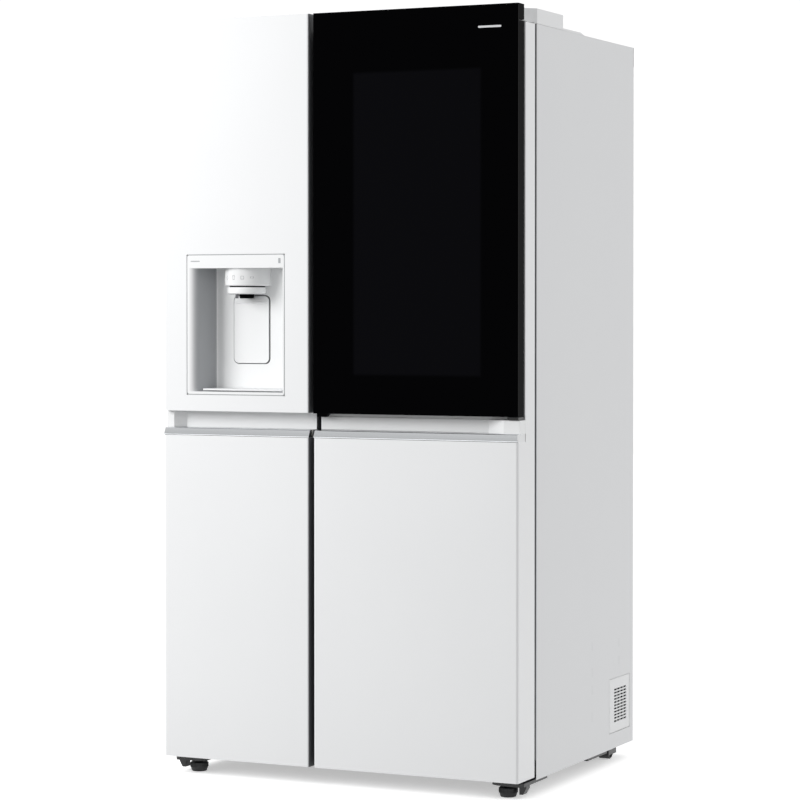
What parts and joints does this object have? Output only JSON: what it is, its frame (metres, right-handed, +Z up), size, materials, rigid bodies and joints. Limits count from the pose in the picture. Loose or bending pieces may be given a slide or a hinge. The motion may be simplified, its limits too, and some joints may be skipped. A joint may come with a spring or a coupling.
{
  "type": "side by side refrigerator",
  "caption": "Side by side refrigerator with a dispenser in the freezer door and a dark window door over the fresh food side.",
  "frame": {"origin": "floor level, under the middle of the outline", "axes": "+X right seen from the front, doors face -Y, +Z up"},
  "size_m": [0.913, 0.735, 1.79],
  "materials": {
    "white_steel": "smooth white coated steel",
    "galvanised": "zinc plated steel",
    "polished_steel": "polished",
    "white_plastic": "white moulded",
    "grey_plastic": "grey moulded",
    "black_plastic": "black moulded",
    "clear_plastic": "clear moulded",
    "black_glass": "dark tinted",
    "shelf_glass": "clear",
    "copper_tube": "drawn copper",
    "aluminium": "mill finish",
    "foam": "rigid foam",
    "seal_rubber": "soft grey",
    "black_rubber": "black",
    "black_enamel": "black enamel",
    "steel_screw": "zinc plated",
    "lamp": "frosted"
  },
  "bodies": {
    "cabinet": {"left_side_panel": "white_steel", "right_side_panel": "white_steel", "top_panel": "white_steel", "back_panel": "galvanised", "front_frame": "white_steel", "freezer_liner": "white_plastic", "fridge_liner": "white_plastic", "insulation_foam": "foam", "base_frame": "black_enamel", "door_hinges": "black_enamel", "hinge_covers": "white_plastic", "side_vent_grille": "white_plastic", "machine_room_cover": "galvanised", "compressor": "black_enamel", "condenser_coil": "copper_tube", "condenser_fan_frame": "black_plastic", "drain_pan": "grey_plastic", "evaporator_coil": "aluminium", "evaporator_cover": "white_plastic", "fridge_air_duct": "white_plastic", "glass_shelves": "shelf_glass", "interior_lamps": "lamp", "water_inlet_valve": "grey_plastic", "cabinet_screws": "steel_screw"},
    "freezer_door": {"freezer_door_skin": "white_steel", "freezer_door_foam": "foam", "freezer_door_liner": "white_plastic", "freezer_door_gasket": "seal_rubber", "freezer_door_baskets": "clear_plastic", "freezer_handle_recess": "white_plastic", "freezer_handle_trim": "polished_steel", "dispenser_housing": "white_plastic", "dispenser_head": "white_plastic", "drip_grille": "grey_plastic", "ice_maker": "white_plastic"},
    "dispenser_pad": {"dispenser_pad": "white_plastic"},
    "ice_bin": {"ice_bin": "clear_plastic"},
    "ice_auger": {"ice_auger": "grey_plastic"},
    "fridge_door": {"fridge_door_skin": "white_steel", "fridge_door_foam": "foam", "fridge_door_liner": "white_plastic", "fridge_door_gasket": "seal_rubber", "fridge_door_baskets": "clear_plastic", "fridge_handle_recess": "white_plastic", "fridge_handle_trim": "polished_steel", "outer_door_hinge": "galvanised"},
    "outer_door": {"outer_door_frame": "black_plastic", "outer_door_glass": "black_glass", "outer_door_gasket": "black_rubber"},
    "release_lever": {"release_lever": "black_plastic"},
    "condenser_fan": {"condenser_fan": "grey_plastic"},
    "evaporator_fan": {"evaporator_fan": "grey_plastic"},
    "levelling_foot_left": {"levelling_foot_left": "black_plastic"},
    "levelling_foot_right": {"levelling_foot_right": "black_plastic"},
    "rear_roller_left": {"rear_roller_left": "grey_plastic"},
    "rear_roller_right": {"rear_roller_right": "grey_plastic"},
    "freezer_drawer_lower": {"freezer_drawer_lower": "clear_plastic"},
    "freezer_drawer_upper": {"freezer_drawer_upper": "clear_plastic"},
    "crisper_drawer_lower": {"crisper_drawer_lower": "clear_plastic"},
    "crisper_drawer_upper": {"crisper_drawer_upper": "clear_plastic"}
  },
  "joints": [
    {"name": "freezer_door_hinge", "type": "hinge", "parent": "cabinet", "child": "freezer_door", "pos_m": [-0.4305, -0.3175, 0.9], "axis": [0, 0, -1], "range_deg": [0, 110]},
    {"name": "fridge_door_hinge", "type": "hinge", "parent": "cabinet", "child": "fridge_door", "pos_m": [0.4305, -0.3175, 0.9], "axis": [0, 0, 1], "range_deg": [0, 110]},
    {"name": "outer_door_hinge", "type": "hinge", "parent": "fridge_door", "child": "outer_door", "pos_m": [0.4475, -0.3555, 1.3], "axis": [0, 0, 1], "range_deg": [0, 100]},
    {"name": "release_lever_press", "type": "slide", "parent": "outer_door", "child": "release_lever", "axis": [0, 1, 0], "range_m": [0, 0.004], "stiffness_N_per_m": 400},
    {"name": "dispenser_pad_push", "type": "hinge", "parent": "freezer_door", "child": "dispenser_pad", "pos_m": [-0.261, -0.2895, 1.122], "axis": [1, 0, 0], "range_deg": [0, 3.5], "stiffness_Nm_per_rad": 2},
    {"name": "ice_bin_lift", "type": "slide", "parent": "freezer_door", "child": "ice_bin", "axis": [0, 0, 1], "range_m": [0, 0.04]},
    {"name": "ice_auger_spin", "type": "hinge", "parent": "ice_bin", "child": "ice_auger", "pos_m": [-0.2545, -0.2105, 1.282], "axis": [1, 0, 0], "continuous": true},
    {"name": "condenser_fan_spin", "type": "hinge", "parent": "cabinet", "child": "condenser_fan", "pos_m": [-0.084, 0.262, 0.165], "axis": [0, 1, 0], "continuous": true},
    {"name": "evaporator_fan_spin", "type": "hinge", "parent": "cabinet", "child": "evaporator_fan", "pos_m": [-0.245, 0.251, 0.9], "axis": [0, 1, 0], "continuous": true},
    {"name": "levelling_foot_left_turn", "type": "hinge", "parent": "cabinet", "child": "levelling_foot_left", "pos_m": [-0.4025, -0.2945, 0.02], "axis": [0, 0, 1], "continuous": true},
    {"name": "levelling_foot_right_turn", "type": "hinge", "parent": "cabinet", "child": "levelling_foot_right", "pos_m": [0.4025, -0.2945, 0.02], "axis": [0, 0, 1], "continuous": true},
    {"name": "rear_roller_left_roll", "type": "hinge", "parent": "cabinet", "child": "rear_roller_left", "pos_m": [-0.415, 0.285, 0.02], "axis": [1, 0, 0], "continuous": true},
    {"name": "rear_roller_right_roll", "type": "hinge", "parent": "cabinet", "child": "rear_roller_right", "pos_m": [0.415, 0.285, 0.02], "axis": [1, 0, 0], "continuous": true},
    {"name": "freezer_drawer_lower_slide", "type": "slide", "parent": "cabinet", "child": "freezer_drawer_lower", "axis": [0, -1, 0], "range_m": [0, 0.12]},
    {"name": "freezer_drawer_upper_slide", "type": "slide", "parent": "cabinet", "child": "freezer_drawer_upper", "axis": [0, -1, 0], "range_m": [0, 0.12]},
    {"name": "crisper_drawer_lower_slide", "type": "slide", "parent": "cabinet", "child": "crisper_drawer_lower", "axis": [0, -1, 0], "range_m": [0, 0.12]},
    {"name": "crisper_drawer_upper_slide", "type": "slide", "parent": "cabinet", "child": "crisper_drawer_upper", "axis": [0, -1, 0], "range_m": [0, 0.12]}
  ]
}
